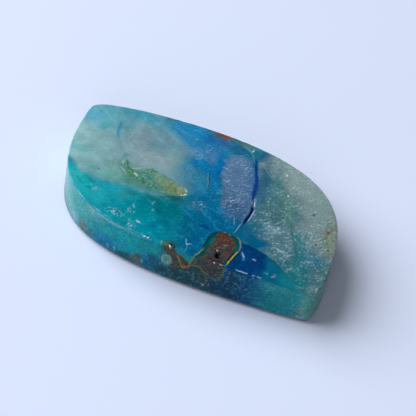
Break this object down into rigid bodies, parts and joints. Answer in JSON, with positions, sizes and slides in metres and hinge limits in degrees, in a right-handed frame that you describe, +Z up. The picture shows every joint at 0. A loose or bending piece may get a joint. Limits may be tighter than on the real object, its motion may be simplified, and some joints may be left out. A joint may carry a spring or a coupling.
{
  "type": "polished azurite cabochon",
  "caption": "Freeform cabochon with a flat back, near-upright walls and a low polished dome, cut from blue-green azurite and chrysocolla in pale translucent chalcedony.",
  "frame": {"origin": "centre of the flat back, on the surface that the stone rests on", "axes": "+X along the length, from the end with the back corner to the end with the front corner; +Z up, out of the dome"},
  "size_m": [0.034, 0.0197, 0.0064],
  "materials": {
    "stone": "polished dome and walls with natural pits and small edge chips, translucent, flat back ground to a satin"
  },
  "bodies": {
    "root": {"stone": "stone"}
  },
  "joints": []
}
